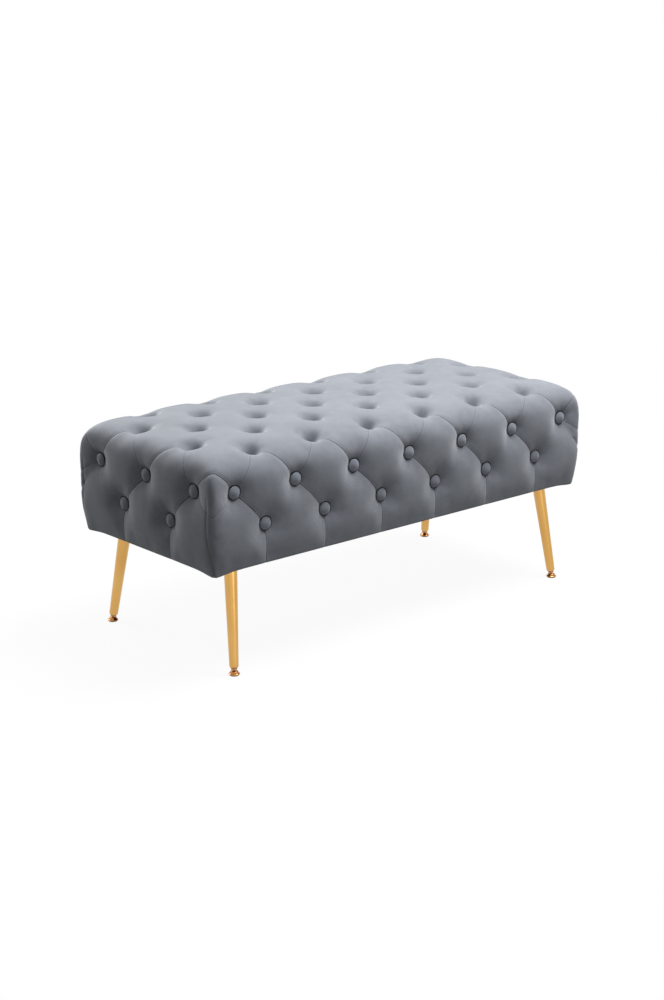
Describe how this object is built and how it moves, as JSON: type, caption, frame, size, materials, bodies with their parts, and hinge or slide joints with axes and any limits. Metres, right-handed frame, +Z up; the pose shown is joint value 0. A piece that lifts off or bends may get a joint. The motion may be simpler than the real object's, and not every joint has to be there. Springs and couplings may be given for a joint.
{
  "type": "tufted pouf",
  "caption": "Long rectangular pouf: buttoned velvet over a foam-padded plywood box, on splayed tapered metal legs with tilting screw-in glides.",
  "frame": {"origin": "on the floor under the middle of the pouf", "axes": "+X along the length, +Y across towards the back, +Z up; the long front side faces -Y"},
  "size_m": [1.06, 0.46, 0.45],
  "materials": {
    "velvet": "short-pile velvet",
    "button_velvet": "short-pile velvet stretched over a button shell",
    "foam": "polyurethane foam",
    "plywood": "raw birch plywood",
    "pine": "planed pine",
    "zinc_steel": "zinc plated",
    "twine": "waxed polyester twine",
    "dust_cloth": "non-woven dust cloth",
    "pad_rubber": "hard rubber",
    "gold_satin": "satin gold-coloured plating on steel",
    "gold_glide": "polished copper-gold plating on steel"
  },
  "bodies": {
    "bench": {"velvet_cover": "velvet", "top_foam": "foam", "front_foam": "foam", "back_foam": "foam", "left_foam": "foam", "right_foam": "foam", "deck_board": "plywood", "front_rail": "plywood", "back_rail": "plywood", "left_rail": "plywood", "right_rail": "plywood", "cross_braces": "plywood", "corner_blocks": "pine", "frame_screws": "zinc_steel", "deck_screws": "zinc_steel", "top_buttons": "button_velvet", "front_buttons": "button_velvet", "back_buttons": "button_velvet", "left_buttons": "button_velvet", "right_buttons": "button_velvet", "tufting_twine": "twine", "twine_washers": "zinc_steel", "dust_cover": "dust_cloth", "cover_staples": "zinc_steel", "plate_screws": "zinc_steel", "front_left_leg_plate": "gold_satin", "front_right_leg_plate": "gold_satin", "back_left_leg_plate": "gold_satin", "back_right_leg_plate": "gold_satin", "front_left_leg": "gold_satin", "front_right_leg": "gold_satin", "back_left_leg": "gold_satin", "back_right_leg": "gold_satin", "front_left_leg_plug": "zinc_steel", "front_right_leg_plug": "zinc_steel", "back_left_leg_plug": "zinc_steel", "back_right_leg_plug": "zinc_steel"},
    "front_left_stem": {"front_left_glide_stem": "gold_glide"},
    "front_left_foot": {"front_left_glide_foot": "gold_glide", "front_left_glide_pad": "pad_rubber"},
    "front_right_stem": {"front_right_glide_stem": "gold_glide"},
    "front_right_foot": {"front_right_glide_foot": "gold_glide", "front_right_glide_pad": "pad_rubber"},
    "back_left_stem": {"back_left_glide_stem": "gold_glide"},
    "back_left_foot": {"back_left_glide_foot": "gold_glide", "back_left_glide_pad": "pad_rubber"},
    "back_right_stem": {"back_right_glide_stem": "gold_glide"},
    "back_right_foot": {"back_right_glide_foot": "gold_glide", "back_right_glide_pad": "pad_rubber"}
  },
  "joints": [
    {"name": "front_left_glide_screw", "type": "slide", "parent": "bench", "child": "front_left_stem", "axis": [-0.0905, -0.1493, -0.9846], "range_m": [0, 0.008]},
    {"name": "front_left_foot_tilt", "type": "hinge", "parent": "front_left_stem", "child": "front_left_foot", "pos_m": [-0.471, -0.213, 0.0066], "axis": [-0.8552, 0.5183, 0], "range_deg": [-6, 25]},
    {"name": "front_right_glide_screw", "type": "slide", "parent": "bench", "child": "front_right_stem", "axis": [0.0905, -0.1493, -0.9846], "range_m": [0, 0.008]},
    {"name": "front_right_foot_tilt", "type": "hinge", "parent": "front_right_stem", "child": "front_right_foot", "pos_m": [0.471, -0.213, 0.0066], "axis": [-0.8552, -0.5183, 0], "range_deg": [-6, 25]},
    {"name": "back_left_glide_screw", "type": "slide", "parent": "bench", "child": "back_left_stem", "axis": [-0.0905, 0.1493, -0.9846], "range_m": [0, 0.008]},
    {"name": "back_left_foot_tilt", "type": "hinge", "parent": "back_left_stem", "child": "back_left_foot", "pos_m": [-0.471, 0.213, 0.0066], "axis": [0.8552, 0.5183, 0], "range_deg": [-6, 25]},
    {"name": "back_right_glide_screw", "type": "slide", "parent": "bench", "child": "back_right_stem", "axis": [0.0905, 0.1493, -0.9846], "range_m": [0, 0.008]},
    {"name": "back_right_foot_tilt", "type": "hinge", "parent": "back_right_stem", "child": "back_right_foot", "pos_m": [0.471, 0.213, 0.0066], "axis": [0.8552, -0.5183, 0], "range_deg": [-6, 25]}
  ]
}
